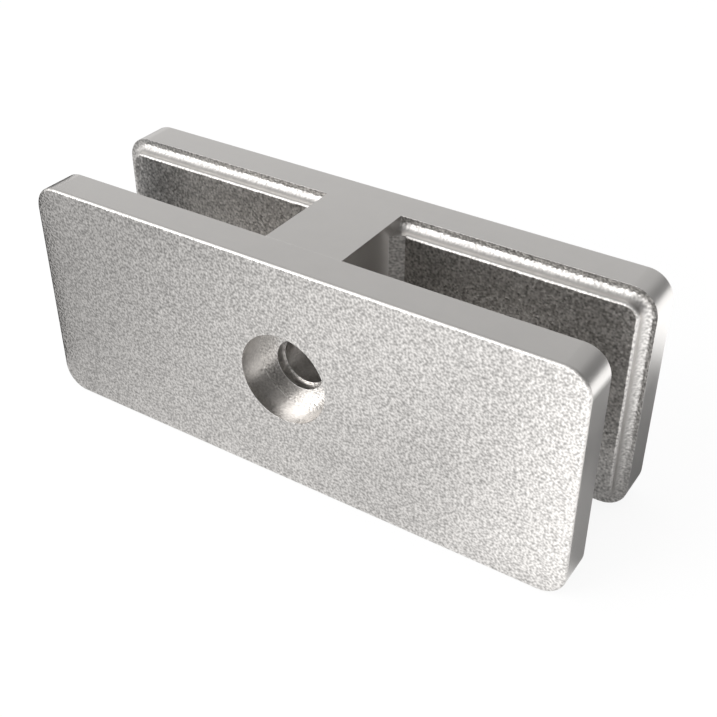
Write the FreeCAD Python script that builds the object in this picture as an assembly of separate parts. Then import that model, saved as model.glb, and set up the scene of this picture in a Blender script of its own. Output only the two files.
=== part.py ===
import FreeCAD, Part
import math
import os

# Straight glass clamp: it holds two panes of glass edge to edge in one plane.
# Seen from above it is an H: a front and a rear plate, and a web between them.
# The web is cast in one with the rear plate. The front plate is pulled against
# it by one screw, and each pane stands in the slot at one side of the web.
# +X runs along the clamp, -Y is the side that the screw goes in from, +Z is up.
# The origin is under the middle of the clamp, level with its lowest faces.
# All lengths are in millimetres.

# Outline that both plates share
LENGTH = 100.0
HEIGHT = 41.0
CORNER_RADIUS = 4.4
OUTER_EDGE_RADIUS = 0.5

# Plates and web, from front to rear
FRONT_THICKNESS = 6.5
WEB_DEPTH = 16.9
REAR_THICKNESS = 6.5
WEB_WIDTH = 14.0
WEB_ROOT_RADIUS = 0.3

# Raised lands that press on the glass
LAND_HEIGHT = 2.1
LAND_RIM = 2.0
LAND_EDGE_RADIUS = 0.55
LAND_BASE_RADIUS = 1.4
GUSSET_ON_WEB = 1.5
GUSSET_ON_LAND = 2.1
WEB_CLEARANCE = 0.3

# Hole in the front plate for an M8 screw with a low head
HEAD_HOLE_DIAMETER = 16.0
HEAD_SEAT_THICKNESS = 1.7
SHANK_HOLE_DIAMETER = 9.0

# Hole in the web: a close fit on the shank at its mouth, then tapped M8. The
# tapped stretch is as wide as the thread's outer diameter, without its ridge.
RELIEF_DIAMETER = 8.4
RELIEF_DEPTH = 7.0
THREAD_DIAMETER = 8.0
THREAD_LENGTH = 9.0
TAP_DRILL_DIAMETER = 6.8
DRILL_POINT_ANGLE = 118.0
WALL_BEHIND_HOLE = 3.0

# Planes square to Y, and the height of the screw's axis
DEPTH = FRONT_THICKNESS + WEB_DEPTH + REAR_THICKNESS
FRONT_OUTER_Y = -DEPTH / 2
FRONT_INNER_Y = FRONT_OUTER_Y + FRONT_THICKNESS
REAR_INNER_Y = FRONT_INNER_Y + WEB_DEPTH
REAR_OUTER_Y = REAR_INNER_Y + REAR_THICKNESS
AXIS_Z = HEIGHT / 2

# Radii that give way where a wall is too small for them
LAND_EDGE_ROUND = min(LAND_EDGE_RADIUS, 0.28 * LAND_HEIGHT)
LAND_BASE_ROUND = min(LAND_BASE_RADIUS, 0.68 * LAND_HEIGHT, 0.72 * LAND_RIM)
LAND_CORNER_RADIUS = max(CORNER_RADIUS - LAND_RIM, 1.25 * LAND_EDGE_ROUND)

TOLERANCE = 0.001


def lies_in_plane(edge, y):
    """Tell whether an edge lies in the plane at this y."""
    box = edge.BoundBox
    return abs(box.YMin - y) < TOLERANCE and abs(box.YMax - y) < TOLERANCE


def runs_along_y(edge):
    """Tell whether an edge is as long along Y as it is altogether."""
    return abs(edge.BoundBox.YLength - edge.Length) < TOLERANCE


def stands_at_side_of_web(edge):
    """Tell whether an edge is upright in the plane of one side of the web."""
    box = edge.BoundBox
    at_side = abs(abs(edge.CenterOfMass.x) - WEB_WIDTH / 2) < TOLERANCE
    return at_side and abs(box.ZLength - edge.Length) < TOLERANCE


def inside_outline(edge, margin):
    """Tell whether an edge lies within the plate outline less a margin."""
    box = edge.BoundBox
    fits_x = box.XMin > margin - LENGTH / 2 and box.XMax < LENGTH / 2 - margin
    fits_z = box.ZMin > margin and box.ZMax < HEIGHT - margin
    return fits_x and fits_z


def rounded_block(inset, corner_radius, y_from, y_to):
    """Make a block with the plate outline less an inset, with round corners."""
    size = (LENGTH - 2 * inset, abs(y_to - y_from), HEIGHT - 2 * inset)
    corner = FreeCAD.Vector(inset - LENGTH / 2, min(y_from, y_to), inset)
    block = Part.makeBox(*size, corner)
    corners = [edge for edge in block.Edges if runs_along_y(edge)]
    return block.makeFillet(corner_radius, corners)


def plate_with_land(outer_y, inner_y):
    """Make a plate with its land, right across, and its edges rounded.

    The outer face is at outer_y. The land stands on the face at inner_y, on
    the side away from the outer face.
    """
    inward = math.copysign(1.0, inner_y - outer_y)
    face_y = inner_y + inward * LAND_HEIGHT
    slab = rounded_block(0.0, CORNER_RADIUS, outer_y, inner_y)
    outer_edges = [edge for edge in slab.Edges if lies_in_plane(edge, outer_y)]
    slab = slab.makeFillet(OUTER_EDGE_RADIUS, outer_edges)

    land = rounded_block(LAND_RIM, LAND_CORNER_RADIUS, inner_y, face_y)
    face_edges = [edge for edge in land.Edges if lies_in_plane(edge, face_y)]
    land = land.makeFillet(LAND_EDGE_ROUND, face_edges)

    plate = slab.fuse(land).removeSplitter()
    base_edges = [
        edge
        for edge in plate.Edges
        if lies_in_plane(edge, inner_y) and inside_outline(edge, LAND_RIM / 2)
    ]
    return plate.makeFillet(LAND_BASE_ROUND, base_edges)


def turned(profile):
    """Turn a closed (radius, y) profile about the screw's axis."""
    points = [FreeCAD.Vector(radius, y, AXIS_Z) for radius, y in profile]
    face = Part.Face(Part.makePolygon(points + points[:1]))
    axis_point = FreeCAD.Vector(0, 0, AXIS_Z)
    return face.revolve(axis_point, FreeCAD.Vector(0, 1, 0), 360)


def front_hole():
    """Make the stepped hole that the screw's head and shank pass through."""
    head_radius = HEAD_HOLE_DIAMETER / 2
    shank_radius = SHANK_HOLE_DIAMETER / 2
    head_seat_y = FRONT_INNER_Y - HEAD_SEAT_THICKNESS
    mouth_y = FRONT_OUTER_Y - FRONT_THICKNESS
    back_y = FRONT_INNER_Y + LAND_HEIGHT
    return turned([
        (0, mouth_y),
        (head_radius, mouth_y),
        (head_radius, head_seat_y),
        (shank_radius, head_seat_y),
        (shank_radius, back_y),
        (0, back_y),
    ])


def web_hole():
    """Make the blind hole in the web: relief, tapped stretch, drill and point."""
    relief_radius = RELIEF_DIAMETER / 2
    thread_radius = THREAD_DIAMETER / 2
    drill_radius = TAP_DRILL_DIAMETER / 2
    mouth_y = FRONT_INNER_Y - LAND_HEIGHT
    relief_y = FRONT_INNER_Y + RELIEF_DEPTH
    thread_y = relief_y + THREAD_LENGTH
    point_y = REAR_OUTER_Y - WALL_BEHIND_HOLE
    drill_y = point_y - drill_radius / math.tan(math.radians(DRILL_POINT_ANGLE / 2))
    return turned([
        (0, mouth_y),
        (relief_radius, mouth_y),
        (relief_radius, relief_y),
        (thread_radius, relief_y),
        (thread_radius, thread_y),
        (drill_radius, thread_y),
        (drill_radius, drill_y),
        (0, point_y),
    ])


def middle_block(width, y_from, y_to):
    """Make a block of full height across the middle of the clamp."""
    corner = FreeCAD.Vector(-width / 2, y_from, 0)
    return Part.makeBox(width, y_to - y_from, HEIGHT, corner)


def web():
    """Make the web, with round roots where it grows out of the rear plate.

    Its footing is a slice of the rear plate, wide enough to carry the roots.
    """
    block = middle_block(WEB_WIDTH, FRONT_INNER_Y, REAR_INNER_Y)
    footing_width = WEB_WIDTH + 4 * WEB_ROOT_RADIUS
    footing = middle_block(footing_width, REAR_INNER_Y, REAR_INNER_Y + REAR_THICKNESS / 2)
    tee = block.fuse(footing).removeSplitter()
    roots = [
        edge
        for edge in tee.Edges
        if lies_in_plane(edge, REAR_INNER_Y) and stands_at_side_of_web(edge)
    ]
    return tee.makeFillet(WEB_ROOT_RADIUS, roots)


def gusset():
    """Make the sloped gusset in the corner of the web and the right-hand land."""
    side_x = WEB_WIDTH / 2
    land_y = REAR_INNER_Y - LAND_HEIGHT
    corners = [
        (side_x, REAR_INNER_Y),
        (side_x, land_y - GUSSET_ON_WEB),
        (side_x + GUSSET_ON_LAND, land_y),
        (side_x + GUSSET_ON_LAND, REAR_INNER_Y),
    ]
    points = [FreeCAD.Vector(x, y, LAND_RIM) for x, y in corners]
    face = Part.Face(Part.makePolygon(points + points[:1]))
    return face.extrude(FreeCAD.Vector(0, 0, HEIGHT - 2 * LAND_RIM))


def make_front_plate():
    """Make the clamping plate: its lands straddle the web with a clearance."""
    plate = plate_with_land(FRONT_OUTER_Y, FRONT_INNER_Y)
    slot_width = WEB_WIDTH + 2 * WEB_CLEARANCE
    web_slot = middle_block(slot_width, FRONT_INNER_Y, FRONT_INNER_Y + WEB_DEPTH)
    return plate.cut(web_slot).cut(front_hole()).removeSplitter()


def make_rear_body():
    """Make the rear plate, its lands, the web, the gussets and the screw hole."""
    plate = plate_with_land(REAR_OUTER_Y, REAR_INNER_Y)
    right = gusset()
    left = right.mirror(FreeCAD.Vector(0, 0, 0), FreeCAD.Vector(1, 0, 0))
    body = plate.fuse([web(), right, left])
    return body.cut(web_hole()).removeSplitter()


def main():
    """Build each piece and write it to its own file."""
    os.makedirs("parts", exist_ok=True)
    pieces = {
        "front_plate": make_front_plate(),
        "rear_body": make_rear_body(),
    }
    for name, shape in pieces.items():
        shape.exportStep("parts/" + name + ".step")
        print(name, "solids", len(shape.Solids), "valid", shape.isValid(), "volume", round(shape.Volume))


main()
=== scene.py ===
import logging
import math
from dataclasses import dataclass, field
from enum import Enum

import bpy
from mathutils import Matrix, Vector


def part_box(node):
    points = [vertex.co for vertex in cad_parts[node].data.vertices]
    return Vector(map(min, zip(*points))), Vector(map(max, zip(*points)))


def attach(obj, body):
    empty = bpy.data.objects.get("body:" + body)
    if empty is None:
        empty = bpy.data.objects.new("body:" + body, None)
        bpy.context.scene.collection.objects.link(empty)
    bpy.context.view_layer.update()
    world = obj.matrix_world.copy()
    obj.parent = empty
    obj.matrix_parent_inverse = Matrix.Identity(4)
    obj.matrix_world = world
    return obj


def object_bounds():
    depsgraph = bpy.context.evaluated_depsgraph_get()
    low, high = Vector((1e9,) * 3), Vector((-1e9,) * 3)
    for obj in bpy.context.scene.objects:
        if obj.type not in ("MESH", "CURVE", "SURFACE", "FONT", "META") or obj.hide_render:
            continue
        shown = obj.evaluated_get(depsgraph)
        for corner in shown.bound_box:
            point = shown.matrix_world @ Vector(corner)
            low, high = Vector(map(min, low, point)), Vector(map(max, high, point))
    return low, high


# Looks of a straight glass clamp in satin steel: a front plate and a rear body
# that close on two panes of glass. The construction comes packed, as the frame.
# This script gives it its steel, adds the ridge of the thread in its screw hole
# and sets up the studio.
# Lengths are in metres: +X along the clamp, -Y out of its front, +Z up.

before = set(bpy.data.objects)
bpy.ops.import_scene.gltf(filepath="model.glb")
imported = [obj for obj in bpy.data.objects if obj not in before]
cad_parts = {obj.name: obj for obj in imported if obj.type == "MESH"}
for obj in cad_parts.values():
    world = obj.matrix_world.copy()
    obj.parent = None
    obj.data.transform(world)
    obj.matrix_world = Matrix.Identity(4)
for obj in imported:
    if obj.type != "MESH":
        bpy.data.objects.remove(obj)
cad_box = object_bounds()

log = logging.getLogger("glass_clamp")

MM = 0.001
WHITE = (1.0, 1.0, 1.0, 1.0)
NOISE_MIDDLE = 0.5

# Screw hole, from front to rear, as the pieces have it
THREAD_DIAMETER = 8.0 * MM
THREAD_PITCH = 1.25 * MM
THREAD_LENGTH = 9.0 * MM
RELIEF_DEPTH = 7.0 * MM


class Body(Enum):
    """The two bodies of the clamp."""

    FRONT = "front_plate"
    REAR = "rear_body"


class Graph:
    """A shader's node tree, written from its inputs to its output."""

    def __init__(self, tree: bpy.types.NodeTree) -> None:
        """Empty the tree and keep it.

        Args:
            tree: The node tree to write.
        """
        tree.nodes.clear()
        self.nodes = tree.nodes
        self.links = tree.links

    def add(self, kind: str, inputs: dict | None = None, **settings: object) -> bpy.types.Node:
        """Add a node.

        Args:
            kind: The node's type, without its leading "ShaderNode".
            inputs: What goes into its sockets, by name or number: a socket to
                link, or a constant.
            settings: Values for the node's own attributes.

        Returns:
            The new node.
        """
        node = self.nodes.new("ShaderNode" + kind)
        for name, value in settings.items():
            setattr(node, name, value)
        for name, value in (inputs or {}).items():
            if isinstance(value, bpy.types.NodeSocket):
                self.links.new(value, node.inputs[name])
            else:
                node.inputs[name].default_value = value
        return node

    def calc(self, operation: str, *values: object) -> bpy.types.NodeSocket:
        """Work out an operation of a Math node on one to three values."""
        return self.add("Math", dict(enumerate(values)), operation=operation).outputs[0]

    def vector(self, operation: str, *values: object) -> bpy.types.NodeSocket:
        """Work out an operation of a Vector Math node, to a number for a length."""
        node = self.add("VectorMath", dict(enumerate(values)), operation=operation)
        return node.outputs["Value" if operation in ("DISTANCE", "LENGTH") else "Vector"]

    def mix(self, share: object, first: object, second: object) -> bpy.types.NodeSocket:
        """Blend two values, by the share that the second has."""
        inputs = {"Factor": share, "A": first, "B": second}
        return self.add("Mix", inputs, data_type="FLOAT").outputs[0]

    def ramp(
        self, value: object, start: tuple, end: tuple, smooth: bool = True
    ) -> bpy.types.NodeSocket:
        """Map a value onto a ramp between two points, level beyond them.

        Args:
            value: The socket to map.
            start: The value where the ramp starts, and the result there.
            end: The value where the ramp ends, and the result there.
            smooth: Whether the ramp eases in and out.

        Returns:
            The result's socket.
        """
        inputs = {
            "Value": value,
            "From Min": start[0],
            "From Max": end[0],
            "To Min": start[1],
            "To Max": end[1],
        }
        kind = "SMOOTHSTEP" if smooth else "LINEAR"
        return self.add("MapRange", inputs, interpolation_type=kind).outputs["Result"]

    def noise(
        self, place: bpy.types.NodeSocket, size: float, detail: float, roughness: float = 0.55
    ) -> bpy.types.NodeSocket:
        """Add a noise with grains of a given size in metres, and its finer layers."""
        inputs = {"Vector": place, "Scale": 1 / size, "Detail": detail, "Roughness": roughness}
        return self.add("TexNoise", inputs).outputs[0]

    def swing(self, noise: bpy.types.NodeSocket) -> bpy.types.NodeSocket:
        """Shift a noise so that it swings about zero."""
        return self.calc("SUBTRACT", noise, NOISE_MIDDLE)

    def seen_by_eye(self, path: bpy.types.Node) -> bpy.types.NodeSocket:
        """Tell camera and transmission rays from the others."""
        camera, through = (path.outputs[name] for name in ("Is Camera Ray", "Is Transmission Ray"))
        return self.calc("MAXIMUM", camera, through)


@dataclass(frozen=True)
class SatinSteel:
    """Bead-blasted stainless steel with ground edges.

    Faces square to Y show the speckle of the blasting, and the screw hole a
    fainter one. Faces that run along Y were ground and show none. Faces in the
    slots are rougher than the outer ones, and rounded edges more so.
    """

    name: str = "satin_steel_blasted"
    colour: tuple[float, float, float] = (0.615, 0.598, 0.58)

    # Speckle of the blasting, patches over the whole, and the finest grain
    grain: float = 0.39 * MM
    grain_detail: float = 0.0
    grain_relief: float = 0.05 * MM
    grain_contrast: float = 1.35
    along_y: float = 0.15
    mottle: float = 5.0 * MM
    mottle_detail: float = 3.0
    mottle_contrast: float = 0.10
    fine_grain: float = 0.11 * MM
    fine_detail: float = 1.0
    fine_relief: float = 0.004 * MM
    edge_radius: float = 0.08 * MM
    edge_samples: int = 6

    blasted_roughness: float = 0.23
    slot_roughness: float = 0.34
    ground_roughness: float = 0.33
    rounded_roughness: float = 0.50
    roughness_spread: float = 0.1

    # Share of the normal that lies along Y, where each kind of face begins
    # and is complete, and where a rounded edge ends
    blasted_begins: tuple[float, float] = (0.25, 0.95)
    rounded_begins: tuple[float, float] = (0.02, 0.25)
    rounded_ends: tuple[float, float] = (0.9, 0.99)

    # Distance from the middle plane that the slots' faces have at most, and
    # the hole's axis in X and Z, its reach, and its share of the speckle
    slot_reach: tuple[float, float] = (8.6 * MM, 9.0 * MM)
    hole_axis: tuple[float, float] = (0.0, 20.5 * MM)
    hole_reach: tuple[float, float] = (8.3 * MM, 8.6 * MM)
    hole_share: float = 0.3

    def material(self) -> bpy.types.Material:
        """Make the material, or return the one that is there already.

        Returns:
            The material, with its colour, roughness and bump from nodes.
        """
        found = bpy.data.materials.get(self.name)
        if found:
            return found
        made = bpy.data.materials.new(self.name)
        made.use_nodes = True
        graph = Graph(made.node_tree)
        coordinates = graph.add("TexCoord").outputs
        place = coordinates["Object"]
        in_hole = self.in_hole(graph, place)
        facing = self.facing_y(graph, coordinates["Normal"])
        begins, complete = self.blasted_begins
        on_faces = graph.ramp(facing, (begins, 0.0), (complete, 1.0))
        on_walls = graph.calc("MULTIPLY", in_hole, self.hole_share)
        blasted = graph.calc("MAXIMUM", on_faces, on_walls)

        speckle = graph.calc("MULTIPLY", graph.swing(self.grains(graph, place, in_hole)), blasted)
        patch = graph.swing(graph.noise(place, self.mottle, self.mottle_detail))
        level = self.level(graph, place, facing, blasted)
        level = graph.calc("MULTIPLY_ADD", speckle, self.roughness_spread, level)
        shader = graph.add("BsdfPrincipled", {
            "Base Color": self.shade(graph, speckle, patch),
            "Metallic": 1.0,
            "Roughness": graph.calc("MULTIPLY_ADD", patch, self.mottle_contrast, level),
            "Normal": self.relief(graph, place, speckle),
        })
        graph.add("OutputMaterial", {"Surface": shader.outputs[0]})
        return made

    def facing_y(self, graph: Graph, normal: bpy.types.NodeSocket) -> bpy.types.NodeSocket:
        """Give the share of the normal that lies along Y."""
        return graph.calc("ABSOLUTE", graph.add("SeparateXYZ", {0: normal}).outputs["Y"])

    def grains(
        self, graph: Graph, place: bpy.types.NodeSocket, in_hole: bpy.types.NodeSocket
    ) -> bpy.types.NodeSocket:
        """Make the noise of the blasting, drawn out along Y outside the hole.

        Args:
            graph: The tree to write into.
            place: The place in the piece's own frame.
            in_hole: The hole's share.

        Returns:
            The socket of the noise.
        """
        stretched = graph.vector("MULTIPLY", place, (1.0, self.along_y, 1.0))
        on_faces = graph.noise(stretched, self.grain, self.grain_detail)
        on_walls = graph.noise(place, self.grain, self.grain_detail)
        return graph.mix(in_hole, on_faces, on_walls)

    def shade(
        self, graph: Graph, speckle: bpy.types.NodeSocket, patch: bpy.types.NodeSocket
    ) -> bpy.types.NodeSocket:
        """Lighten and darken the colour by the speckle and the patches.

        Args:
            graph: The tree to write into.
            speckle: The speckle, about zero.
            patch: The patches, about zero.

        Returns:
            The colour's socket.
        """
        scale = graph.calc("MULTIPLY_ADD", speckle, self.grain_contrast, 1.0)
        scale = graph.calc("MULTIPLY_ADD", patch, self.mottle_contrast, scale)
        inputs = {0: self.colour, "Scale": scale}
        return graph.add("VectorMath", inputs, operation="SCALE").outputs[0]

    def level(
        self,
        graph: Graph,
        place: bpy.types.NodeSocket,
        facing: bpy.types.NodeSocket,
        blasted: bpy.types.NodeSocket,
    ) -> bpy.types.NodeSocket:
        """Choose the roughness of the kind of face.

        Args:
            graph: The tree to write into.
            place: The place in the piece's own frame.
            facing: The share of the normal that lies along Y.
            blasted: How much of the blasting shows.

        Returns:
            The roughness's socket, still without speckle and patches.
        """
        depth = graph.calc("ABSOLUTE", graph.add("SeparateXYZ", {0: place}).outputs["Y"])
        near, far = self.slot_reach
        on_blasted = graph.ramp(depth, (near, self.slot_roughness), (far, self.blasted_roughness))
        level = graph.ramp(blasted, (0.0, self.ground_roughness), (1.0, on_blasted), smooth=False)
        begins, complete = self.rounded_begins
        rounded = graph.ramp(facing, (begins, 0.0), (complete, 1.0))
        fades, ends = self.rounded_ends
        rounded = graph.calc("MULTIPLY", rounded, graph.ramp(facing, (fades, 1.0), (ends, 0.0)))
        return graph.mix(rounded, level, self.rounded_roughness)

    def relief(
        self, graph: Graph, place: bpy.types.NodeSocket, speckle: bpy.types.NodeSocket
    ) -> bpy.types.NodeSocket:
        """Soften the sharpest edges, and raise the finest grain and the speckle.

        Args:
            graph: The tree to write into.
            place: The place in the piece's own frame.
            speckle: The speckle, about zero.

        Returns:
            The normal's socket.
        """
        edge = graph.add("Bevel", {"Radius": self.edge_radius}, samples=self.edge_samples)
        normal = edge.outputs[0]
        fine = graph.noise(place, self.fine_grain, self.fine_detail)
        for height, relief in ((fine, self.fine_relief), (speckle, self.grain_relief)):
            inputs = {"Height": height, "Distance": relief, "Strength": 1.0, "Normal": normal}
            normal = graph.add("Bump", inputs).outputs[0]
        return normal

    def in_hole(self, graph: Graph, place: bpy.types.NodeSocket) -> bpy.types.NodeSocket:
        """Tell whether a point is within the screw hole's radius.

        Args:
            graph: The tree to write into.
            place: The place in the piece's own frame.

        Returns:
            The socket of the answer, which fades from 1 to 0 at the rim.
        """
        flat = graph.vector("MULTIPLY", place, (1.0, 0.0, 1.0))
        axis_x, axis_z = self.hole_axis
        away = graph.vector("DISTANCE", flat, (axis_x, 0.0, axis_z))
        near, far = self.hole_reach
        return graph.ramp(away, (near, 1.0), (far, 0.0))


@dataclass
class Thread:
    """The ridge of the M8 thread on the wall of the screw hole.

    Its section is that of a metric thread: the depth is a share of the height
    of the pitch's triangle, and the widths are shares of the pitch.
    """

    steel: SatinSteel
    start: Vector
    diameter: float = THREAD_DIAMETER
    pitch: float = THREAD_PITCH
    length: float = THREAD_LENGTH
    steps_per_turn: int = 48
    sunk: float = 0.02 * MM
    runout_turns: float = 0.5
    depth_share: float = 5 / 8
    foot_share: float = 7 / 8
    crest_share: float = 1 / 4

    def profile(self) -> list[tuple[float, float]]:
        """Give foot and crest, each as depth inside the wall and half its width."""
        depth = self.depth_share * math.sqrt(3) / 2 * self.pitch
        foot, crest = (share * self.pitch / 2 for share in (self.foot_share, self.crest_share))
        return [(-self.sunk, foot), (depth, crest)]

    def build(self) -> bpy.types.Object:
        """Wind the ridge up the hole and fade it in and out at its ends.

        Returns:
            The ridge as a mesh object.
        """
        (sunk, foot), (depth, crest) = self.profile()
        turns = self.length / self.pitch - 1
        count = round(turns * self.steps_per_turn)
        points, faces = [], []
        corners = 4
        for step in range(count + 1):
            turn = turns * step / count
            fade = min(1.0, turn / self.runout_turns, (turns - turn) / self.runout_turns)
            y = self.start.y + self.pitch / 2 + turn * self.pitch
            top = depth * fade
            for inside, along in ((sunk, -foot), (top, -crest), (top, crest), (sunk, foot)):
                radius = self.diameter / 2 - inside
                angle = 2 * math.pi * turn
                points.append((
                    self.start.x + radius * math.sin(angle),
                    y + along,
                    self.start.z + radius * math.cos(angle),
                ))
        for step in range(count):
            here, there = corners * step, corners * (step + 1)
            for corner in range(corners):
                after = (corner + 1) % corners
                faces.append((here + corner, here + after, there + after, there + corner))
        faces.append(tuple(reversed(range(corners))))
        faces.append(tuple(corners * count + corner for corner in range(corners)))
        mesh = bpy.data.meshes.new("screw_thread")
        mesh.from_pydata(points, [], faces)
        mesh.validate()
        return bpy.data.objects.new("screw_thread", mesh)

    def dress(self, piece: bpy.types.Object) -> None:
        """Give the ridge its steel and let it ride with the rear body.

        Args:
            piece: The ridge.
        """
        bpy.context.scene.collection.objects.link(piece)
        piece.data.materials.append(self.steel.material())
        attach(piece, Body.REAR.value)


@dataclass
class CastPiece:
    """One of the two castings, which keeps the mesh of its solid."""

    body: Body
    steel: SatinSteel

    def dress(self) -> bpy.types.Object:
        """Give the casting its steel.

        Returns:
            The casting's object.
        """
        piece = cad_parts[self.body.value]
        for place in piece.material_slots:
            place.material = self.steel.material()
        return piece


@dataclass
class Softbox:
    """A rectangular lamp that faces the clamp.

    Its place is measured from the middle of the clamp.
    """

    name: str
    place: tuple[float, float, float]
    width: float
    depth: float
    radiance: float

    def build(self, target: Vector) -> bpy.types.Object:
        """Hang the lamp and turn it to the clamp.

        Args:
            target: The point that it faces.

        Returns:
            The lamp's object.
        """
        lamp = bpy.data.lights.new(self.name, "AREA")
        lamp.shape = "RECTANGLE"
        lamp.size, lamp.size_y = self.width, self.depth
        lamp.energy = self.radiance * math.pi * self.width * self.depth
        made = bpy.data.objects.new(self.name, lamp)
        made.location = target + Vector(self.place)
        made.rotation_euler = Vector(self.place).to_track_quat("Z", "Y").to_euler()
        made.visible_camera = False
        bpy.context.scene.collection.objects.link(made)
        return made


@dataclass(frozen=True)
class BlackFelt:
    """Black felt, for the cards that the steel reflects."""

    # The dark of the painted reflection that the cards give the steel
    colour: tuple[float, float, float, float] = (0.05, 0.05, 0.05, 1.0)

    def material(self, name: str) -> bpy.types.Material:
        """Make the material.

        Args:
            name: The material's name.

        Returns:
            The material.
        """
        made = bpy.data.materials.new(name)
        made.use_nodes = True
        graph = Graph(made.node_tree)
        felt = graph.add("BsdfDiffuse", {"Color": self.colour})
        graph.add("OutputMaterial", {"Surface": felt.outputs[0]})
        return made


@dataclass
class Flag:
    """A black card beside the clamp, seen only in the steel.

    It stands square to X. Its place is measured from the middle of the clamp. It
    casts no shadow and lights nothing: it is a painted dark reflection in the steel.
    """

    name: str
    place: tuple[float, float, float]
    width: float
    height: float
    felt: BlackFelt = BlackFelt()

    def build(self, target: Vector) -> bpy.types.Object:
        """Stand the card up.

        Args:
            target: The middle of the clamp.

        Returns:
            The card's object.
        """
        across, up = self.width / 2, self.height / 2
        corners = [(0, -across, -up), (0, across, -up), (0, across, up), (0, -across, up)]
        mesh = bpy.data.meshes.new(self.name)
        mesh.from_pydata(corners, [], [(0, 1, 2, 3)])
        card = bpy.data.objects.new(self.name, mesh)
        card.location = target + Vector(self.place)
        card.visible_camera = False
        card.visible_diffuse = False
        card.visible_shadow = False
        mesh.materials.append(self.felt.material(self.name + "_felt"))
        bpy.context.scene.collection.objects.link(card)
        return card


@dataclass(frozen=True)
class Grade:
    """A step in the floor's glow along an axis.

    It goes from one place, with the factor there, to another. It paints light and
    shade into what the steel reflects of the floor.
    """

    axis: str
    start: tuple[float, float]
    end: tuple[float, float]


@dataclass(frozen=True)
class FloorPaper:
    """White paper that keeps a shadow.

    The eye sees it glow at full white. What the steel reflects of it is a painted
    reflection, graded by place: painted light in brighter bands, painted shade in
    dimmer ones, and painted shade in a dark corner at the right.
    """

    colour: tuple[float, float, float, float] = (0.9, 0.9, 0.9, 1.0)
    glow: float = 0.88
    # Painted light and shade: steps in the glow that only the steel sees
    painted_reflection_grades: tuple[Grade, ...] = (
        Grade("X", (-0.09, 0.4), (0.0, 0.88)),
        Grade("X", (0.015, 1.0), (0.055, 1.9)),
        Grade("Y", (-0.07, 1.25), (-0.02, 0.94)),
        Grade("Y", (-0.016, 1.0), (-0.010, 2.3)),
        Grade("Y", (0.010, 1.0), (0.016, 0.435)),
        Grade("Y", (0.0, 1.0), (0.05, 1.15)),
    )
    # Painted shade: the steel sees the floor darker about this corner
    painted_shade_corner: tuple[float, float, float] = (0.060, 0.020, 0.0)
    painted_shade_stretch: tuple[float, float, float] = (1.0, 1.6, 0.0)
    painted_shade_reach: tuple[float, float] = (0.040, 0.070)
    painted_shade_level: float = 0.08

    def material(self, name: str) -> bpy.types.Material:
        """Make the material.

        Args:
            name: The material's name.

        Returns:
            The material.
        """
        made = bpy.data.materials.new(name)
        made.use_nodes = True
        made.cycles.emission_sampling = "NONE"
        graph = Graph(made.node_tree)
        path = graph.add("LightPath")
        graded = self.graded(graph, graph.add("NewGeometry").outputs["Position"])
        eye = graph.seen_by_eye(path)
        seen = graph.calc("MAXIMUM", eye, path.outputs["Is Glossy Ray"])
        # The eye sees an even white; the steel sees the painted reflection
        strength = graph.mix(eye, graded, 1.0)
        glow = graph.add("Emission", {"Color": WHITE, "Strength": strength})
        paper = graph.add("BsdfDiffuse", {"Color": self.colour})
        share = graph.calc("MULTIPLY", seen, self.glow)
        mixed = graph.add("MixShader", {0: share, 1: paper.outputs[0], 2: glow.outputs[0]})
        graph.add("OutputMaterial", {"Surface": mixed.outputs[0]})
        return made

    def graded(self, graph: Graph, place: bpy.types.NodeSocket) -> bpy.types.NodeSocket:
        """Grade what the steel reflects of the floor.

        Args:
            graph: The tree to write into.
            place: The place in the studio.

        Returns:
            The socket of the glow there.
        """
        # Painted shade about the dark corner, then painted light and shade by the steps
        offset = graph.vector("SUBTRACT", place, self.painted_shade_corner)
        away = graph.vector("LENGTH", graph.vector("MULTIPLY", offset, self.painted_shade_stretch))
        near, far = self.painted_shade_reach
        graded = graph.ramp(away, (near, self.painted_shade_level), (far, 1.0))
        along = graph.add("SeparateXYZ", {0: place}).outputs
        for grade in self.painted_reflection_grades:
            step = graph.ramp(along[grade.axis], grade.start, grade.end)
            graded = graph.calc("MULTIPLY", graded, step)
        return graded


@dataclass(frozen=True)
class StudioSky:
    """Pale walls and ceiling.

    The eye sees them at full white, and they light the scene at an even level.
    What the steel reflects of them is a painted reflection, dimmer above and at the
    right: painted shade that lights nothing. Each pair is a part of the direction,
    along Z or X, and the light there.
    """

    light: float = 1.0
    wall: tuple[float, float] = (0.25, 1.0)
    ceiling: tuple[float, float] = (0.72, 0.50)
    left_side: tuple[float, float] = (0.15, 1.0)
    right_side: tuple[float, float] = (0.55, 0.22)

    def build(self, name: str) -> bpy.types.World:
        """Make the world and the scene's surroundings of it.

        Args:
            name: The world's name.

        Returns:
            The world.
        """
        world = bpy.data.worlds.new(name)
        bpy.context.scene.world = world
        world.use_nodes = True
        world.cycles.sampling_method = "NONE"
        graph = Graph(world.node_tree)
        path = graph.add("LightPath")
        toward = graph.add("SeparateXYZ", {0: graph.add("TexCoord").outputs["Generated"]}).outputs
        # Painted shade in what the steel reflects: dimmer towards the ceiling and the right
        upward = graph.ramp(toward["Z"], self.wall, self.ceiling)
        sideways = graph.ramp(toward["X"], self.left_side, self.right_side)
        graded = graph.calc("MULTIPLY", upward, sideways)
        level = graph.mix(path.outputs["Is Glossy Ray"], self.light, graded)
        level = graph.mix(graph.seen_by_eye(path), level, 1.0)
        sky = graph.add("Background", {"Color": WHITE, "Strength": level})
        graph.add("OutputWorld", {"Surface": sky.outputs[0]})
        return world


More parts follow.
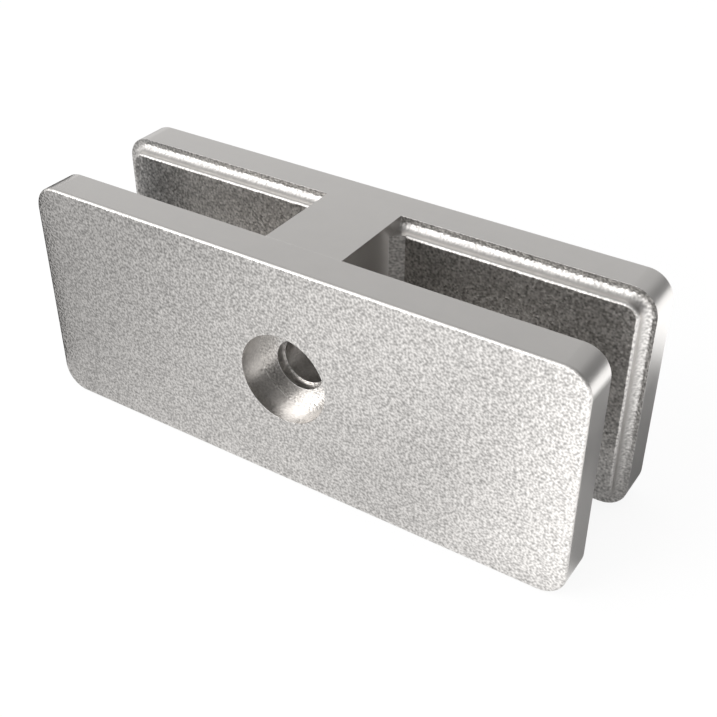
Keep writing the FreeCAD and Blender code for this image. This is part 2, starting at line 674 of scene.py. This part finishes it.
@dataclass
class Studio:
    """Pale floor, pale surroundings, lamps and flags."""

    floor_size: float = 6.0
    floor_gap: float = 0.1 * MM
    paper: FloorPaper = FloorPaper()
    sky: StudioSky = StudioSky()
    lamps: list[Softbox] = field(default_factory=lambda: [
        Softbox("key_softbox", (-0.27, -0.40, 0.33), 0.38, 0.46, 3.1),
        Softbox("front_softbox", (-0.22, -0.54, 0.12), 0.45, 0.35, 2.2),
    ])
    flags: list[Flag] = field(default_factory=lambda: [
        # Painted shade: a dark reflection at the left end of the left slot
        Flag("left_painted_shade_card", (-0.056, -0.0112, 0.0), 0.018, 0.045),
    ])

    def build_floor(self) -> bpy.types.Object:
        """Lay the floor just under the clamp.

        Returns:
            The floor's object.
        """
        half = self.floor_size / 2
        corners = [(-half, -half, 0), (half, -half, 0), (half, half, 0), (-half, half, 0)]
        mesh = bpy.data.meshes.new("floor")
        mesh.from_pydata(corners, [], [(0, 1, 2, 3)])
        floor = bpy.data.objects.new("floor", mesh)
        floor.location.z = cad_box[0].z - self.floor_gap
        mesh.materials.append(self.paper.material("floor_paper"))
        bpy.context.scene.collection.objects.link(floor)
        return floor

    def build_lamps(self, target: Vector) -> None:
        """Hang every lamp and stand up every flag.

        Args:
            target: The point that they face.
        """
        for piece in (*self.lamps, *self.flags):
            piece.build(target)
            log.info("%s set up", piece.name)


@dataclass
class Viewpoint:
    """The photograph's camera."""

    azimuth: float = 32.96
    elevation: float = 35.09
    distance: float = 190.06 * MM
    aim: tuple[float, float, float] = (4.47 * MM, 0.0, 17.52 * MM)
    lens: float = 57.79
    clip_start: float = 1.0 * MM

    def build(self) -> bpy.types.Object:
        """Place the camera and make it the scene's.

        Returns:
            The camera's object.
        """
        data = bpy.data.cameras.new("photo_camera")
        data.lens = self.lens
        data.clip_start = self.clip_start
        camera = bpy.data.objects.new("photo_camera", data)
        around, up = math.radians(self.azimuth), math.radians(self.elevation)
        level = math.cos(up)
        back = Vector((math.sin(around) * level, -math.cos(around) * level, math.sin(up)))
        camera.location = Vector(self.aim) + back * self.distance
        camera.rotation_euler = back.to_track_quat("Z", "Y").to_euler()
        bpy.context.scene.collection.objects.link(camera)
        bpy.context.scene.camera = camera
        return camera


def main() -> None:
    """Dress the clamp, then set up its studio and its camera."""
    logging.basicConfig(level=logging.INFO, format="%(name)s: %(message)s")
    bpy.context.scene.view_settings.view_transform = "Standard"
    steel = SatinSteel()
    for body in Body:
        piece = CastPiece(body, steel).dress()
        log.info("%s dressed, %d faces", piece.name, len(piece.data.polygons))

    low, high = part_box(Body.REAR.value)
    middle = (low + high) / 2
    hole = Vector((middle.x, low.y + RELIEF_DEPTH, middle.z))
    thread = Thread(steel, hole)
    ridge = thread.build()
    thread.dress(ridge)
    log.info("%s wound, %d faces", ridge.name, len(ridge.data.polygons))

    centre = (cad_box[0] + cad_box[1]) / 2
    studio = Studio()
    studio.build_floor()
    studio.sky.build("studio")
    studio.build_lamps(centre)
    Viewpoint().build()


if __name__ == "__main__":
    main()
